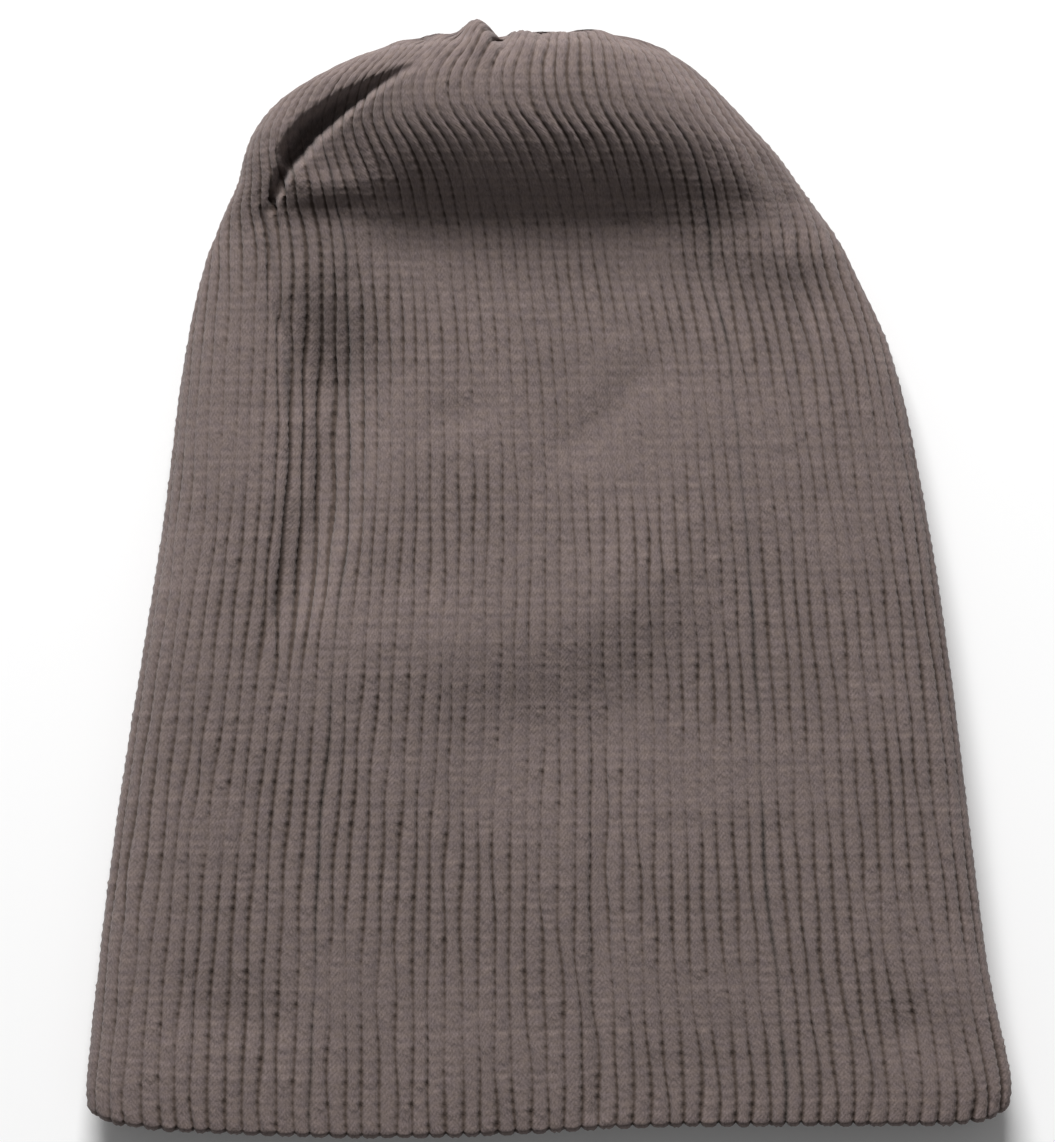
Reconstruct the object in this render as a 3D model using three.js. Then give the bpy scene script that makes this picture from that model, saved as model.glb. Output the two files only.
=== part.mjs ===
import * as THREE from "three";

// A long rib-knit beanie that lies flat on its back. It is one tube of knitting, two layers thick:
// folded at the hem, which is the open end at -Y, and drawn together at the crown, at +Y.
// X runs across the cap, Y from the hem to the crown, and Z up from the surface that it lies on.
// All sizes are millimetres.

// Driving dimensions
const WALL = 3.2; // two layers of rib knit
const RIBS = 112; // ribs round the whole tube
const RIB_DEPTH = 1; // from the top of a rib to the bottom of the groove beside it
const MIDDLE = { x: 0.1, y: 131.4 }; // the middle of the cap's outline, which is put at the origin
const FLATTEN = 0.5; // how far the back is pressed flat where it rests
const HEM_ROUND = 0.9; // how far the hem's edge is rounded back on each side of the wall
const HEM_REACH = 45; // how far up the cap the hem's uneven line is still felt

// The tube's cross sections, from the hem to the gather. front, side and back give where each one
// runs over the front, along the two side folds and under the back. square is how boxy it is.
// front_ribs is how many ribs lie over the front, middle is how much wider they are in the middle of
// it than at the side folds, and twist is how many ribs the knitting has turned by, to the left.
const SECTION_COLUMNS = [
  "front_y", "front_z", "side_y", "side_z", "back_y", "back_z", "left_x", "right_x", "square",
  "front_ribs", "middle", "twist",
];
const SECTIONS = [
  [0, 15.0, 0, 7.2, 0, 0, -109.5, 109.7, 11, 56, 1, 0],
  [10, 15.6, 10, 7.2, 10, 0, -109.9, 110.1, 11, 56, 1, 0],
  [40, 16.6, 40, 7.4, 40, 0, -107.0, 104.6, 10, 56, 1, 0],
  [75, 17.2, 75, 7.6, 75, 0, -102.7, 100.1, 10, 56, 1, 0],
  [110, 17.8, 110, 7.8, 110, 0, -97.1, 95.8, 10, 56, 1, 0],
  [146, 18.0, 146, 7.8, 146, 0, -91.4, 90.1, 9, 56, 1, 0],
  [182, 17.0, 182, 7.6, 182, 0, -86.8, 82.5, 8, 55, 1, 0],
  [204, 15.8, 204, 7.6, 204, 0, -82.2, 73.0, 7, 52, 1, 0],
  [213.5, 16.4, 213, 8.0, 213, 0, -79.0, 68.2, 5.6, 49.6, 1.02, 0.05],
  [219.5, 19.6, 219, 8.8, 219, 0, -76.6, 63.8, 4.6, 48, 1.05, 0.1],
  [226.5, 25.4, 225, 9.6, 225, 0, -73.8, 59.4, 4, 47.4, 1.05, 0.2],
  [234.6, 30.4, 231.5, 10.4, 231.5, 0, -72.2, 54.6, 3.6, 47, 1.05, 0.3],
  [241.6, 32.6, 238, 11.4, 238, 0, -69.4, 48.6, 3.4, 46.5, 1.1, 0.4],
  [250, 32.8, 244.5, 12.4, 244.5, 0, -63.2, 42.0, 3.2, 46, 1.25, 0.5],
  [256.2, 30.8, 250.5, 14.0, 250.5, 0.8, -52.6, 35.6, 3, 45, 1.6, 1],
  [258.6, 27.6, 254.0, 15.6, 254.2, 2.8, -44.8, 30.4, 2.8, 43, 2.2, 1.6],
  [259.4, 24.6, 257, 17.0, 257.4, 6.8, -35.6, 24.6, 2.6, 41, 2.6, 1.8],
  [258.2, 22.2, 257.8, 18.0, 257.8, 12.2, -23.4, 2.2, 2.2, 46, 1.4, 1.8],
  [252, 20.4, 252, 18.4, 252, 16.4, -13.8, -9.8, 2, 56, 1, 1.8],
];
const GATHER = { x: -11.8, y: 251, z: 18.4 }; // where every rib ends

// The line of the hem's edge, seen from above: how far up the cap it lies at each place across it
const HEM_LINE = [
  [-110, 4.6],
  [-104, 1.5],
  [-92, -0.2],
  [-70, -1.2],
  [-46, -1.9],
  [-22, -1.7],
  [-2, -0.7],
  [16, 0.4],
  [34, 0.9],
  [96, 1.1],
  [104, 2.0],
  [110, 5.0],
];

// Folds and dents in the front. Each runs along a path seen from above, with a height at each of its
// points, which is negative for a dent. left and right are its half widths on either side of the
// path, going up the cap. A fold with sunk_to is pressed down to those heights above the floor, and
// narrowed makes it narrower along its path. The more edge it has, the sharper its sides are.
const FOLDS = [
  {
    name: "crown_slit",
    path: [[-63, 227], [-60.8, 231.4], [-56.6, 237], [-49.4, 242.6], [-41.4, 247.6], [-31, 253]],
    sunk_to: [17, 15, 17, 22, 28, 31.2],
    narrowed: [0.45, 0.95, 1, 0.85, 0.6, 0.35],
    left: 2.8,
    right: 2.4,
    edge: 2.4,
  },
  {
    name: "slit_tail",
    path: [[-67, 213], [-65.2, 221], [-63, 227]],
    sunk_to: [16.6, 15, 14.6],
    narrowed: [0.4, 0.7, 1],
    left: 1.3,
    right: 1.5,
    edge: 2.4,
  },
  {
    name: "crease_line",
    path: [
      [-67.6, 218], [-66.6, 211.6], [-64.5, 194.2], [-61.4, 184], [-60.5, 164], [-60.5, 146.8],
      [-64.5, 125.2], [-66.2, 112.1],
    ],
    height: [-0.7, -0.9, -1.2, -1.2, -1, -0.9, -0.7, 0],
    left: 1,
    right: 1.6,
  },
  {
    name: "side_crease",
    path: [
      [-63, 222], [-59.5, 211.6], [-55, 199], [-52, 179], [-51.5, 168], [-53.5, 150],
      [-58, 132], [-63, 118],
    ],
    height: [-0.6, -0.8, -1.2, -7.2, -7.2, -6.4, -4, -0.8],
    narrowed: [0.5, 0.8, 1, 1, 0.92, 0.75, 0.55, 0.4],
    left: 10,
    right: 13,
  },
  {
    name: "lobe_end",
    path: [[-66, 234], [-56, 236], [-46, 236], [-32, 236]],
    height: [-2, -4.6, -4.4, 0],
    narrowed: [0.7, 0.9, 1, 1],
    left: 20,
    right: 15,
  },
  {
    name: "lobe_end_brow",
    path: [[-64, 221], [-59, 221.6], [-52, 222.4], [-44, 223], [-38, 223.4]],
    height: [0, 0.8, 1.3, 0.5, 0],
    left: 5,
    right: 2.2,
    edge: 3,
  },
  {
    name: "left_shoulder",
    path: [[-75, 210], [-66, 210.5], [-50, 211.5], [-40, 212]],
    height: [0, 1.2, 1.5, 0],
    left: 6.5,
    right: 13,
  },
  {
    name: "right_shoulder",
    path: [[38, 215], [58, 210]],
    height: [2.2, 3.2],
    left: 11,
    right: 11,
  },
  {
    name: "right_crease",
    path: [[24, 258.4], [36.4, 249.8], [45.8, 238], [57.4, 221], [61.4, 197], [62.8, 162]],
    height: [-0.8, -1.3, -1.3, -1.3, -1.5, -0.4],
    left: 3.4,
    right: 3,
  },
  {
    name: "diagonal_ridge",
    path: [[-62, 109], [-23, 114], [5, 120], [28, 134], [46, 156]],
    height: [0.4, 1.4, 2, 1.9, 0.6],
    left: 16,
    right: 15,
  },
  {
    name: "hollow_below_it",
    path: [[-30, 90], [6, 96], [44, 114]],
    height: [0, -1.3, 0],
    left: 14,
    right: 16,
  },
  {
    name: "upper_crease",
    path: [[-1, 157], [15, 171], [29, 187]],
    height: [-0.3, -0.9, -0.3],
    left: 5,
    right: 6,
  },
  {
    name: "small_dent",
    path: [[-24, 169], [-17, 171]],
    height: [-0.8, -0.5],
    left: 5.5,
    right: 5.5,
  },
  {
    name: "centre_crease",
    path: [[13.5, 130], [12.6, 70], [11.6, 4]],
    height: [0, -1.2, -1.1],
    left: 3.2,
    right: 3.2,
  },
  {
    name: "right_hem_dent",
    path: [[86, 24], [97, 22]],
    height: [-1, -0.6],
    left: 9,
    right: 9,
  },
  {
    name: "left_hem_dent",
    path: [[-80, 28], [-68, 27]],
    height: [-0.7, -0.7],
    left: 9,
    right: 9,
  },
  {
    name: "pleat_groove_1",
    path: [[-29.4, 260], [-28.2, 243]],
    height: [-1.6, 0],
    left: 2.2,
    right: 2.2,
  },
  {
    name: "pleat_groove_2",
    path: [[-20.9, 263], [-20.5, 251]],
    height: [-2, 0],
    left: 2,
    right: 2,
  },
  {
    name: "pleat_groove_3",
    path: [[-11.6, 263], [-8.8, 253]],
    height: [-2.2, 0],
    left: 2,
    right: 2,
  },
  {
    name: "pleat_groove_4",
    path: [[-3.2, 263], [2, 249]],
    height: [-1.8, 0],
    left: 2,
    right: 2,
  },
  {
    name: "pleat_groove_5",
    path: [[8, 263], [12, 252]],
    height: [-1.2, 0],
    left: 2.4,
    right: 2.4,
  },
];

const SLIT = FOLDS[0]; // the slit in the crown
const FOLD_FALL = 1.2; // how much a fold dies away by its half width

// Pleats that stand out past the crown's rim, each with its place across it
const RIM_PLEATS = [
  { x: -35, out: 0.7, half_width: 3.2 },
  { x: -25.6, out: 1.2, half_width: 3 },
  { x: -16.6, out: 4.6, half_width: 3.9 },
  { x: -11, out: -1.4, half_width: 1.8 },
  { x: -5.4, out: 1.8, half_width: 3.6 },
  { x: 9, out: 1.8, half_width: 8 },
];
const RIM_PLEATS_FROM = 13; // the section where they start
const RIM_SECTION = 15.8; // the section that makes the crown's rim
const RIM_TURN = 1.4; // how many sections beyond it the front's folds die away in
const FRONT_EDGE = 0.05; // how far up a section the front starts, where 1 is its middle
const FRONT_WHOLE = 0.6; // how far up it is front and nothing else
const WIDE_FALL = 6; // how close to the side folds the wide ribs of the middle reach
const SLIT_TUCK = 0.55; // how much narrower the ribs are that are tucked away in the crown's slit
const SLIT_REACH = 4; // how far from the slit's line that is felt
const SLIT_FULL = 1.3; // how soon along the slit all of it is felt, 1 being at its end
const END_PLEATS = 20; // pleats round the end, which run in to the gather
const END_PLEAT_HEIGHT = 0.7;
// The sections where the end's pleats start, are full, and run out again
const END_PLEATS_START = 15;
const END_PLEATS_FULL = 16.5;
const END_PLEATS_FADE = 17;
const END_PLEATS_STOP = 18;

// How finely the surfaces are faceted
const SECTION_STEPS = 720; // steps that a section's way round is measured in
const RIB_EASE = 1.3; // how many sections ahead and behind even out the ribs' places
const EASE_STEPS = 6; // sections looked at on each side for that
const NORMAL_STEP = 0.02; // how far to each side the surface's direction is measured
const OUTER_RINGS = [0, 1, 2, 3, 4, 4.5, 5, 5.5, 6, 6.5, 7, 8, 9, 10, 11, 12, 13, 14, 15];
const END_RINGS = [15.6, 16.2, 17, 18];
const INNER_RINGS = [0, 2, 4, 6, 7, 8, 9, 10, 11, 12, 13, 14, 15, 16, 17];
const END_COLUMNS = 4 * END_PLEATS;
const SLIT_SPAN = { from: 0.6, to: 0.8 }; // the part of the way round that the crown's slit takes

// The ring of yarn that closes the gather
const YARN_RING_RADIUS = 1.7;
const YARN_RADIUS = 0.6;
const YARN_SIDES = 8;
const YARN_STEPS = 18;
const YARN_OUT = 5.6; // how far outside the bottom of the gather it sits

const KNIT_COLOUR = 0x70655f; // grey-brown wool blend
const YARN_COLOUR = 0x5f554f;

// Value of a smooth curve through evenly spaced values, at place t
function smoothThrough(values, t) {
  const last = values.length - 1;
  const i = Math.min(Math.max(Math.floor(t), 0), last - 1);
  const u = t - i;
  const slope = (k) => (values[Math.min(k + 1, last)] - values[Math.max(k - 1, 0)]) / 2;
  const start = values[i];
  const rise = values[i + 1] - start;
  const a = slope(i);
  const b = slope(i + 1);
  return start + u * (a + u * (3 * rise - 2 * a - b + u * (a + b - 2 * rise)));
}

// Value at x of a line through a table's points
function lineThrough(table, x) {
  if (x <= table[0][0]) return table[0][1];
  for (let i = 1; i < table.length; i++) {
    const [x0, y0] = table[i - 1];
    const [x1, y1] = table[i];
    if (x <= x1) return y0 + ((y1 - y0) * (x - x0)) / (x1 - x0);
  }
  return table[table.length - 1][1];
}

// 0 below from, 1 above to, and smooth between
function smoothStep(from, to, value) {
  const u = Math.min(Math.max((value - from) / (to - from), 0), 1);
  return u * u * (3 - 2 * u);
}

// The cross section at place t along the table, as an object with the table's column names
function sectionAt(t) {
  const section = {};
  SECTION_COLUMNS.forEach((name, c) => {
    section[name] = smoothThrough(SECTIONS.map((row) => row[c]), t);
  });
  return section;
}

// How far up a cross section is at an angle, from -1 under the back to 1 over the front. The angle
// is 0 at the right side fold and a quarter turn at the middle of the front.
function upAt(section, angle) {
  return Math.sign(Math.sin(angle)) * Math.sqrt(1 - Math.abs(Math.cos(angle)) ** section.square);
}

// A point of a cross section, before folds and ribs
function bodyPoint(section, angle) {
  const up = upAt(section, angle);
  const half = (section.right_x - section.left_x) / 2;
  const middle = (section.right_x + section.left_x) / 2;
  const x = middle + half * Math.cos(angle);
  if (up >= 0) {
    const y = section.side_y + (section.front_y - section.side_y) * up;
    const z = section.side_z + (section.front_z - section.side_z) * up;
    return new THREE.Vector3(x, y, z);
  }
  const y = section.side_y - (section.back_y - section.side_y) * up;
  const pressed = section.back_z < 1 ? FLATTEN * (1 - section.back_z) : 0;
  const z = section.side_z - (section.back_z - pressed - section.side_z) * up;
  return new THREE.Vector3(x, y, Math.max(z, 0));
}

// The outward direction of the body at an angle of the section at t
function bodyNormal(t, angle) {
  const step = NORMAL_STEP;
  const last = SECTIONS.length - 1;
  const before = bodyPoint(sectionAt(Math.max(t - step, 0)), angle);
  const after = bodyPoint(sectionAt(Math.min(t + step, last)), angle);
  const here = sectionAt(t);
  const around = bodyPoint(here, angle + step).sub(bodyPoint(here, angle - step));
  return around.cross(after.sub(before)).negate().normalize();
}

// How wide a rib is at a point of a section, against the others
function ribWidth(section, angle, point) {
  if (Math.sin(angle) <= 0) return 1;
  const wide = 1 + (section.middle - 1) * (1 - Math.cos(angle) ** WIDE_FALL);
  const near = nearestOnPath(SLIT.path, point.x, point.y);
  const along = (near.along / (SLIT.path.length - 1)) * SLIT_FULL;
  const tucked = SLIT_TUCK * Math.min(along, 1) * Math.exp(-((near.distance / SLIT_REACH) ** 2));
  return wide * (1 - tucked);
}

// How far round the section at t evenly spaced angles lie, in shares of all the ribs, from 0 to 1.
// It starts at the middle of the back and goes round by the right side.
function sharesOfAngles(t) {
  const section = sectionAt(t);
  const lengths = [0];
  let previous = bodyPoint(section, -Math.PI / 2);
  for (let k = 1; k <= SECTION_STEPS; k++) {
    const angle = -Math.PI / 2 + (2 * Math.PI * k) / SECTION_STEPS;
    const point = bodyPoint(section, angle);
    lengths.push(lengths[k - 1] + point.distanceTo(previous) / ribWidth(section, angle, point));
    previous = point;
  }
  const rightFold = SECTION_STEPS / 4;
  const leftFold = SECTION_STEPS - rightFold;
  const behind = (1 - section.front_ribs / RIBS) / 2;
  const known = [
    [lengths[0], 0],
    [lengths[rightFold], behind],
    [lengths[leftFold], 1 - behind],
    [lengths[SECTION_STEPS], 1],
  ];
  return lengths.map((length) => lineThrough(known, length));
}

// The angle at a place round the cap, where 1 is once round
function angleOfPlace(shares, place) {
  const turns = Math.floor(place);
  const wanted = place - turns;
  let k = 0;
  while (k < SECTION_STEPS - 1 && shares[k + 1] < wanted) k++;
  const part = (wanted - shares[k]) / (shares[k + 1] - shares[k]);
  return 2 * Math.PI * ((k + part) / SECTION_STEPS + turns) - Math.PI / 2;
}

// Angles of the section at t for places round the cap, after the knitting's twist. Sections near it
// count too, so that the ribs run smoothly up the cap.
function anglesAt(t, places) {
  const near = [];
  for (let k = -EASE_STEPS; k <= EASE_STEPS; k++) {
    const at = Math.min(Math.max(t + (RIB_EASE * k) / EASE_STEPS, 0), SECTIONS.length - 1);
    near.push(sharesOfAngles(at));
  }
  const turned = sectionAt(t).twist / RIBS;
  return places.map((place) => {
    const angles = near.map((shares) => angleOfPlace(shares, place + turned));
    return angles.reduce((sum, angle) => sum + angle, 0) / angles.length;
  });
}

// Nearest place on a path seen from above: how far along it, as point number, and how far to its
// left, which is negative on its right
function nearestOnPath(path, x, y) {
  let best = { distance: Infinity, along: 0, left: 0 };
  for (let i = 1; i < path.length; i++) {
    const [x0, y0] = path[i - 1];
    const [x1, y1] = path[i];
    const dx = x1 - x0;
    const dy = y1 - y0;
    const size = dx * dx + dy * dy;
    const part = Math.min(Math.max(((x - x0) * dx + (y - y0) * dy) / size, 0), 1);
    const distance = Math.hypot(x - x0 - part * dx, y - y0 - part * dy);
    if (distance < best.distance) {
      const cross = dx * (y - y0) - dy * (x - x0);
      best = { distance, along: i - 1 + part, left: Math.sign(cross) };
    }
  }
  return best;
}

// Value at a place along a fold's path
function alongFold(values, along) {
  const i = Math.min(Math.floor(along), values.length - 2);
  return values[i] + (values[i + 1] - values[i]) * (along - i);
}

// Pushes a point of the front up or down by the folds. wider makes every fold wider, and lower
// lowers what a fold is sunk to, as the inside of the wall needs.
function folded(point, front, wider, lower) {
  let z = point.z;
  for (const fold of FOLDS) {
    const near = nearestOnPath(fold.path, point.x, point.y);
    const goesUp = fold.path[fold.path.length - 1][1] >= fold.path[0][1];
    const onLeft = near.left > 0 === goesUp;
    const narrowed = fold.narrowed ? alongFold(fold.narrowed, near.along) : 1;
    const reach = near.distance / ((onLeft ? fold.left : fold.right) * narrowed + wider);
    const share = front * Math.exp(-FOLD_FALL * reach ** (fold.edge ?? 2));
    if (fold.sunk_to) {
      const bottom = alongFold(fold.sunk_to, near.along) - lower;
      z += Math.min(bottom - z, 0) * share;
    } else {
      z += alongFold(fold.height, near.along) * share;
    }
  }
  return z;
}

// Moves the hem's end of the cap to its uneven line
function hemShift(x, y) {
  return lineThrough(HEM_LINE, x) * (1 - smoothStep(0, HEM_REACH, y));
}

// How far a place belongs to the front, which the folds and the rim's pleats shape: not at all on
// the back and inside the crown's rim, where the end turns away
function frontShare(t, angle) {
  const up = upAt(sectionAt(t), angle);
  return smoothStep(FRONT_EDGE, FRONT_WHOLE, up) * (1 - smoothStep(RIM_SECTION, RIM_SECTION + RIM_TURN, t));
}

// Outer surface at the section t. depth is how deep the rib groove is at this place.
function outerPoint(t, place, angle, depth) {
  const point = bodyPoint(sectionAt(t), angle);
  const normal = bodyNormal(t, angle);
  const front = frontShare(t, angle);
  const resting = point.z < 1 && normal.z < 0 ? 1 - smoothStep(0, 1, point.z) : 0;
  const rim = smoothStep(RIM_PLEATS_FROM, RIM_SECTION, t);
  let out = -depth * (1 - resting);
  for (const pleat of RIM_PLEATS) {
    const off = (point.x - pleat.x) / pleat.half_width;
    out += rim * front * pleat.out * Math.exp(-off * off);
  }
  const started = smoothStep(END_PLEATS_START, END_PLEATS_FULL, t);
  const stopped = smoothStep(END_PLEATS_FADE, END_PLEATS_STOP, t);
  out += started * (1 - stopped) * END_PLEAT_HEIGHT * Math.cos(2 * Math.PI * END_PLEATS * place);
  point.z = folded(point, front, 0, 0);
  point.addScaledVector(normal, out);
  point.y += hemShift(point.x, point.y);
  point.z = Math.max(point.z, 0);
  return point;
}

// Inner surface at the section t, the wall's thickness inside the outer one
function innerPoint(t, angle, inset) {
  const point = bodyPoint(sectionAt(t), angle);
  point.addScaledVector(bodyNormal(t, angle), -inset);
  const front = frontShare(t, angle);
  const wider = inset / 2;
  point.z = folded(point, front, wider, inset);
  point.y += hemShift(point.x, point.y);
  return point;
}

function evenPlaces(count) {
  return Array.from({ length: count }, (_, k) => k / count);
}

// A ring of the outer surface, with a column on each rib and one in each groove
function ribbedRing(t) {
  const places = evenPlaces(2 * RIBS);
  const angles = anglesAt(t, places);
  const points = places.map((place, k) => outerPoint(t, place, angles[k], (k % 2) * RIB_DEPTH));
  return { places, points };
}

// A ring of the pleated end, where the ribs run together
function endRing(t) {
  const places = evenPlaces(END_COLUMNS);
  const angles = anglesAt(t, places);
  return { places, points: places.map((place, k) => outerPoint(t, place, angles[k], 0)) };
}

// A ring inside the wall, closer columns standing where the crown's slit is
function insetRing(t, inset, everyRib) {
  const inSlit = (place) => place > SLIT_SPAN.from && place < SLIT_SPAN.to;
  const places = evenPlaces(RIBS).filter((place, k) => everyRib || k % 2 === 0 || inSlit(place));
  const angles = anglesAt(t, places);
  return { places, points: angles.map((angle) => innerPoint(t, angle, inset)) };
}

// Joins two rings by triangles. Seen from outside, ring b lies further up the cap than ring a.
function joinRings(triangles, a, b) {
  const countA = a.points.length;
  const countB = b.points.length;
  let i = 0;
  let j = 0;
  while (i < countA || j < countB) {
    const nextA = i + 1 < countA ? a.places[i + 1] : 1 + a.places[(i + 1) % countA];
    const nextB = j + 1 < countB ? b.places[j + 1] : 1 + b.places[(j + 1) % countB];
    const here = a.points[i % countA];
    const above = b.points[j % countB];
    if (i < countA && (j >= countB || nextA <= nextB)) {
      triangles.push([here, above, a.points[(i + 1) % countA]]);
      i++;
    } else {
      triangles.push([here, above, b.points[(j + 1) % countB]]);
      j++;
    }
  }
}

// Closes a ring with a fan of triangles to one point
function closeRing(triangles, ring, tip) {
  ring.points.forEach((point, k) => {
    triangles.push([point, tip, ring.points[(k + 1) % ring.points.length]]);
  });
}

function geometryOf(triangles) {
  const positions = [];
  for (const corners of triangles) {
    for (const corner of corners) {
      positions.push(corner.x - MIDDLE.x, corner.y - MIDDLE.y, corner.z);
    }
  }
  const geometry = new THREE.BufferGeometry();
  geometry.setAttribute("position", new THREE.Float32BufferAttribute(positions, 3));
  geometry.computeVertexNormals();
  return geometry;
}

function knitTube() {
  const outside = OUTER_RINGS.map(ribbedRing);
  outside[0].points.forEach((point) => (point.y += HEM_ROUND));
  const rings = [...outside, ...END_RINGS.map(endRing)];
  const inside = INNER_RINGS.map((t) => insetRing(t, WALL, false));
  inside[0].points.forEach((point) => (point.y += HEM_ROUND));
  const outerEdge = insetRing(0, HEM_ROUND, true);
  const innerEdge = insetRing(0, WALL - HEM_ROUND, true);

  const triangles = [];
  for (let k = 1; k < rings.length; k++) joinRings(triangles, rings[k - 1], rings[k]);
  closeRing(triangles, rings[rings.length - 1], new THREE.Vector3(GATHER.x, GATHER.y, GATHER.z));
  joinRings(triangles, outerEdge, outside[0]);
  joinRings(triangles, innerEdge, outerEdge);
  joinRings(triangles, inside[0], innerEdge);
  for (let k = 1; k < inside.length; k++) joinRings(triangles, inside[k], inside[k - 1]);
  const last = inside[inside.length - 1];
  const tip = new THREE.Vector3(GATHER.x, GATHER.y - WALL, GATHER.z);
  last.points.forEach((point, k) => {
    triangles.push([point, last.points[(k + 1) % last.points.length], tip]);
  });

  const material = new THREE.MeshStandardMaterial({ color: KNIT_COLOUR, roughness: 0.95, metalness: 0 });
  const mesh = new THREE.Mesh(geometryOf(triangles), material);
  mesh.name = "knit_tube";
  return mesh;
}

function closingYarn() {
  const geometry = new THREE.TorusGeometry(YARN_RING_RADIUS, YARN_RADIUS, YARN_SIDES, YARN_STEPS);
  const material = new THREE.MeshStandardMaterial({ color: YARN_COLOUR, roughness: 0.9, metalness: 0 });
  const mesh = new THREE.Mesh(geometry, material);
  mesh.name = "closing_yarn";
  mesh.rotation.x = Math.PI / 2;
  mesh.position.set(GATHER.x - MIDDLE.x, GATHER.y + YARN_OUT - MIDDLE.y, GATHER.z);
  return mesh;
}

const group = new THREE.Group();
group.name = "beanie";
group.add(knitTube());
group.add(closingYarn());

export default group;
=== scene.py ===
import math

import bpy
import numpy as np
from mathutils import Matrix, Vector


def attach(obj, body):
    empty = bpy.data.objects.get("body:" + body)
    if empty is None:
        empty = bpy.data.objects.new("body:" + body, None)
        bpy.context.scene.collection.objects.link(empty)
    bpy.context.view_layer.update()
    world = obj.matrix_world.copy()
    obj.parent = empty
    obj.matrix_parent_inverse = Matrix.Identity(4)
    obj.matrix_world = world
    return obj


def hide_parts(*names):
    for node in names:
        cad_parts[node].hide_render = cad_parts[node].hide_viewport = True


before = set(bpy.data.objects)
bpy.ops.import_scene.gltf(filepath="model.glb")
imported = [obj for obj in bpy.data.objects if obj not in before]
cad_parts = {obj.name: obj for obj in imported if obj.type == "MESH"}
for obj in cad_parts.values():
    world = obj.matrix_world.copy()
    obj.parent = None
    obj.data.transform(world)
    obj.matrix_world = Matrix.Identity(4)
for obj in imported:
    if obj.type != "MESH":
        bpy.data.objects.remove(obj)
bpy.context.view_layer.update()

# A long rib-knit beanie that lies flat on its back: a doubled tube of knitting, folded at the hem (-Y)
# and drawn together at the crown (+Y). Sizes are millimetres here, and metres once a mesh is made.
MM = 0.001

# Driving dimensions
WALL = 3.2  # two layers of rib knit
RIBS = 112  # ribs round the whole tube
COURSE = 2.5  # one row of stitches, measured along a rib
RIB_DEPTH = 1.15  # from the top of a rib to the bottom of the groove beside it
MIDDLE = (0.1, 131.4)  # the middle of the cap's outline, which is put at the origin
FLATTEN = 0.5  # how far the back is pressed flat where it rests
HEM_REACH = 45  # how far up the cap the hem's uneven line is still felt

# The tube's cross sections, from the hem to the gather. front, side and back give where each one
# runs over the front, along the two side folds and under the back. square is how boxy it is.
# front_ribs is how many ribs lie over the front, middle is how much wider they are in the middle of
# it than at the side folds, and twist is how many ribs the knitting has turned by, to the left.
SECTION_COLUMNS = [
    "front_y", "front_z", "side_y", "side_z", "back_y", "back_z", "left_x", "right_x", "square",
    "front_ribs", "middle", "twist",
]
SECTIONS = np.array([
    [0, 15.0, 0, 7.2, 0, 0, -109.5, 109.7, 11, 56, 1, 0],
    [10, 15.6, 10, 7.2, 10, 0, -109.9, 110.1, 11, 56, 1, 0],
    [40, 16.6, 40, 7.4, 40, 0, -107.0, 104.6, 10, 56, 1, 0],
    [75, 17.2, 75, 7.6, 75, 0, -102.7, 100.1, 10, 56, 1, 0],
    [110, 17.8, 110, 7.8, 110, 0, -97.1, 95.8, 10, 56, 1, 0],
    [146, 18.0, 146, 7.8, 146, 0, -91.4, 90.1, 9, 56, 1, 0],
    [182, 17.0, 182, 7.6, 182, 0, -86.8, 82.5, 8, 55, 1, 0],
    [204, 15.8, 204, 7.6, 204, 0, -82.2, 73.0, 7, 52, 1, 0],
    [213.5, 16.4, 213, 8.0, 213, 0, -79.0, 68.2, 5.6, 49.6, 1.02, 0.05],
    [219.5, 19.6, 219, 8.8, 219, 0, -76.6, 63.8, 4.6, 48, 1.05, 0.1],
    [226.5, 25.4, 225, 9.6, 225, 0, -73.8, 59.4, 4, 47.4, 1.05, 0.2],
    [234.6, 30.4, 231.5, 10.4, 231.5, 0, -72.2, 54.6, 3.6, 47, 1.05, 0.3],
    [241.6, 32.6, 238, 11.4, 238, 0, -69.4, 48.6, 3.4, 46.5, 1.1, 0.4],
    [250, 32.8, 244.5, 12.4, 244.5, 0, -63.2, 42.0, 3.2, 46, 1.25, 0.5],
    [256.2, 30.8, 250.5, 14.0, 250.5, 0.8, -52.6, 35.6, 3, 45, 1.6, 1],
    [258.6, 27.6, 254.0, 15.6, 254.2, 2.8, -44.8, 30.4, 2.8, 43, 2.2, 1.6],
    [259.4, 24.6, 257, 17.0, 257.4, 6.8, -35.6, 24.6, 2.6, 41, 2.6, 1.8],
    [258.2, 22.2, 257.8, 18.0, 257.8, 12.2, -23.4, 2.2, 2.2, 46, 1.4, 1.8],
    [252, 20.4, 252, 18.4, 252, 16.4, -13.8, -9.8, 2, 56, 1, 1.8],
])
GATHER = (-11.8, 251, 18.4)  # where every rib ends

# The line of the hem's edge, seen from above: how far up the cap it lies at each place across it
HEM_LINE = np.array([
    [-110, 4.6],
    [-104, 1.5],
    [-92, -0.2],
    [-70, -1.2],
    [-46, -1.9],
    [-22, -1.7],
    [-2, -0.7],
    [16, 0.4],
    [34, 0.9],
    [96, 1.1],
    [104, 2.0],
    [110, 5.0],
])

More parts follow.
